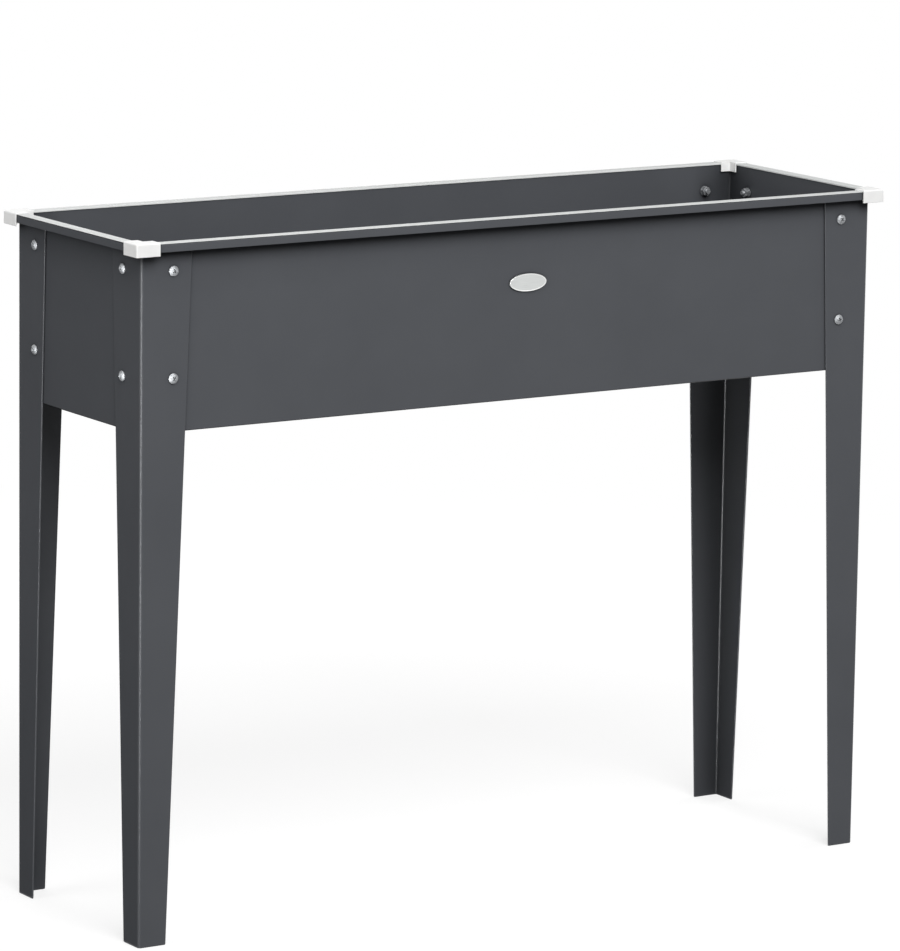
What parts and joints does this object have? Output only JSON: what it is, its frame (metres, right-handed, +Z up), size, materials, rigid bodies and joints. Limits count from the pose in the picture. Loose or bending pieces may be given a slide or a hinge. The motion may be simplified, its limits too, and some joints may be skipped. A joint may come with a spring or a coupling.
{
  "type": "elevated planter",
  "caption": "Raised rectangular sheet-steel planter box on tapered angle legs, with a lipped rim, plastic rim strips and corner caps, and a drained floor.",
  "frame": {"origin": "middle of the rectangle of feet, on the floor", "axes": "+X along the length to the right as seen from the front, +Y to the back, +Z up. The front with the badge faces -Y."},
  "size_m": [1.016, 0.311, 0.8],
  "materials": {
    "powder_coated_steel": "dark grey satin powder coat",
    "moulded_plastic": "white moulded, softly glossy",
    "extruded_plastic": "white extruded, satin",
    "zinc_plated_steel": "bright zinc plating",
    "satin_badge_metal": "satin, bare of any lettering"
  },
  "bodies": {
    "root": {"front_panel": "powder_coated_steel", "back_panel": "powder_coated_steel", "left_end_panel": "powder_coated_steel", "right_end_panel": "powder_coated_steel", "floor_panel": "powder_coated_steel", "floor_stiffener_left": "powder_coated_steel", "floor_stiffener_middle": "powder_coated_steel", "floor_stiffener_right": "powder_coated_steel", "leg_front_left": "powder_coated_steel", "leg_front_right": "powder_coated_steel", "leg_rear_left": "powder_coated_steel", "leg_rear_right": "powder_coated_steel", "corner_cap_front_left": "moulded_plastic", "corner_cap_front_right": "moulded_plastic", "corner_cap_rear_left": "moulded_plastic", "corner_cap_rear_right": "moulded_plastic", "rim_strip_front": "extruded_plastic", "rim_strip_back": "extruded_plastic", "rim_strip_left": "extruded_plastic", "rim_strip_right": "extruded_plastic", "bolts_front_left": "zinc_plated_steel", "bolts_front_right": "zinc_plated_steel", "bolts_rear_left": "zinc_plated_steel", "bolts_rear_right": "zinc_plated_steel", "washers_front_left": "zinc_plated_steel", "washers_front_right": "zinc_plated_steel", "washers_rear_left": "zinc_plated_steel", "washers_rear_right": "zinc_plated_steel", "nuts_front_left": "zinc_plated_steel", "nuts_front_right": "zinc_plated_steel", "nuts_rear_left": "zinc_plated_steel", "nuts_rear_right": "zinc_plated_steel", "badge": "satin_badge_metal"}
  },
  "joints": []
}
